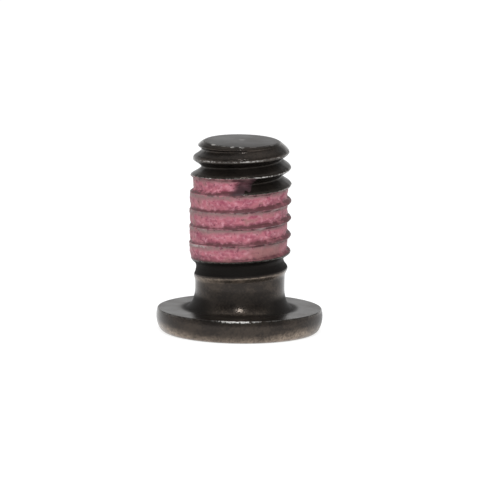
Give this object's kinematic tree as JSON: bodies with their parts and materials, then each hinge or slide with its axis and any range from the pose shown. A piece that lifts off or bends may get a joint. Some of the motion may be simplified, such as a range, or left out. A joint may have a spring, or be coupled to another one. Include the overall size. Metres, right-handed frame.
{
  "type": "clutch disc bolt",
  "caption": "Short dark steel bolt with a thin round head, a lobed recess, a plain neck and dry thread-locking adhesive in its thread, for clamping a thin clutch disc.",
  "frame": {"origin": "centre of the head's outer face, on which the bolt stands", "axes": "+Z along the shank, from the head to the point"},
  "size_m": [0.0098, 0.0098, 0.0114],
  "materials": {
    "dark_steel": "black oxide, satin, worn pale along the crests",
    "dry_adhesive": "dry pink adhesive, matte, mottled and chalky"
  },
  "bodies": {
    "root": {"bolt": "dark_steel", "thread_lock_patch": "dry_adhesive"}
  },
  "joints": []
}
